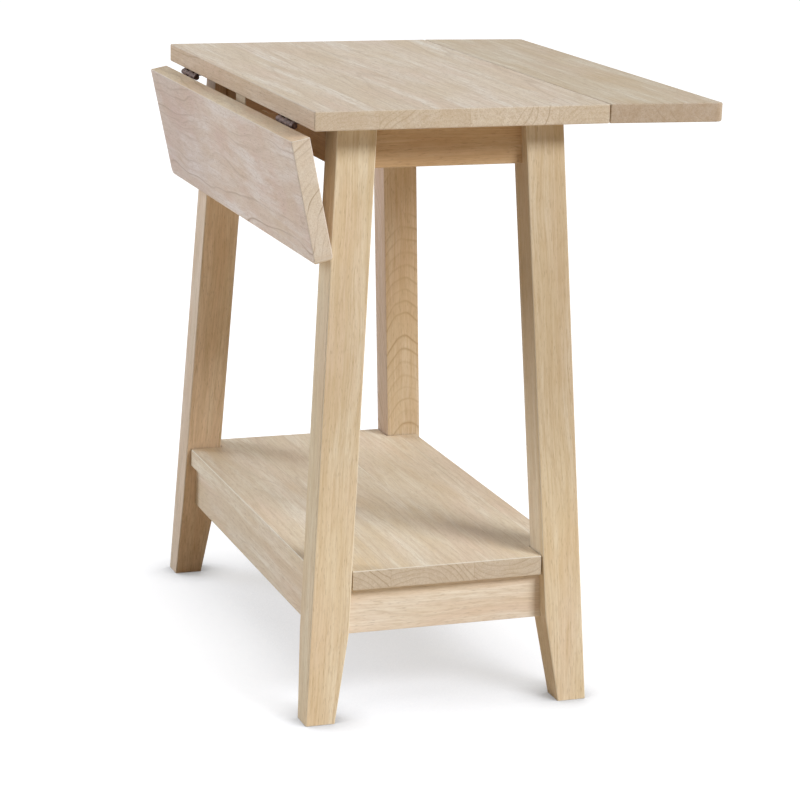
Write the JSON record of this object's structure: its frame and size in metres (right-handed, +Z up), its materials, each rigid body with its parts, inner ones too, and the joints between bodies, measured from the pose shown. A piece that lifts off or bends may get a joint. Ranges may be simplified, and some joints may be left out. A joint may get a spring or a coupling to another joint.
{
  "type": "drop-leaf end table",
  "caption": "Small wooden end table with a fixed top, drop leaves on butt hinges, pull-out leaf supports, splayed tapered legs and a lower shelf.",
  "frame": {"origin": "on the floor, midway between the four feet", "axes": "+X to the right along the front edge, towards the raised leaf, +Y from the front to the back, +Z up"},
  "size_m": [0.4458, 0.54, 0.61],
  "materials": {
    "panel_wood": "sanded bare hardwood boards with long grain, not sealed",
    "frame_wood": "sanded bare hardwood, not sealed",
    "inner_wood": "sawn bare hardwood, out of sight",
    "slide_wood": "sanded bare hardwood, not sealed",
    "bronzed_steel": "dark bronzed steel with a low sheen",
    "zinc_steel": "zinc-plated steel"
  },
  "bodies": {
    "table_frame": {"fixed_top": "panel_wood", "shelf": "panel_wood", "front_left_leg": "frame_wood", "front_right_leg": "frame_wood", "back_left_leg": "frame_wood", "back_right_leg": "frame_wood", "front_apron": "frame_wood", "back_apron": "frame_wood", "left_apron": "frame_wood", "right_apron": "frame_wood", "front_rail": "frame_wood", "back_rail": "frame_wood", "left_rail": "frame_wood", "right_rail": "frame_wood", "front_left_corner_block": "inner_wood", "front_right_corner_block": "inner_wood", "back_left_corner_block": "inner_wood", "back_right_corner_block": "inner_wood", "channel_floor": "inner_wood", "front_channel_fence": "inner_wood", "back_channel_fence": "inner_wood", "apron_dowels": "inner_wood", "rail_dowels": "inner_wood", "left_front_hinge_top_plate": "bronzed_steel", "left_front_hinge_pin": "bronzed_steel", "left_back_hinge_top_plate": "bronzed_steel", "left_back_hinge_pin": "bronzed_steel", "right_front_hinge_top_plate": "bronzed_steel", "right_front_hinge_pin": "bronzed_steel", "right_back_hinge_top_plate": "bronzed_steel", "right_back_hinge_pin": "bronzed_steel", "top_hinge_screws": "bronzed_steel", "channel_screws": "zinc_steel", "top_fixing_screws": "zinc_steel", "shelf_screws": "zinc_steel"},
    "left_leaf": {"left_leaf": "panel_wood", "left_front_hinge_leaf_plate": "bronzed_steel", "left_back_hinge_leaf_plate": "bronzed_steel", "left_leaf_hinge_screws": "bronzed_steel"},
    "right_leaf": {"right_leaf": "panel_wood", "right_front_hinge_leaf_plate": "bronzed_steel", "right_back_hinge_leaf_plate": "bronzed_steel", "right_leaf_hinge_screws": "bronzed_steel"},
    "left_slide": {"left_support_slide": "slide_wood", "left_slide_stop_peg": "inner_wood"},
    "right_slide": {"right_support_slide": "slide_wood", "right_slide_stop_peg": "inner_wood"}
  },
  "joints": [
    {"name": "left_leaf_hinge", "type": "hinge", "parent": "table_frame", "child": "left_leaf", "pos_m": [-0.1504, 0, 0.5873], "axis": [0, 1, 0], "range_deg": [-2.9, 102]},
    {"name": "right_leaf_hinge", "type": "hinge", "parent": "table_frame", "child": "right_leaf", "pos_m": [0.1504, 0, 0.5873], "axis": [0, 1, 0], "range_deg": [-0.7, 104.2]},
    {"name": "left_slide_pull", "type": "slide", "parent": "table_frame", "child": "left_slide", "axis": [-1, 0, 0], "range_m": [0, 0.004]},
    {"name": "right_slide_pull", "type": "slide", "parent": "table_frame", "child": "right_slide", "axis": [1, 0, 0], "range_m": [0, 0.004]}
  ]
}
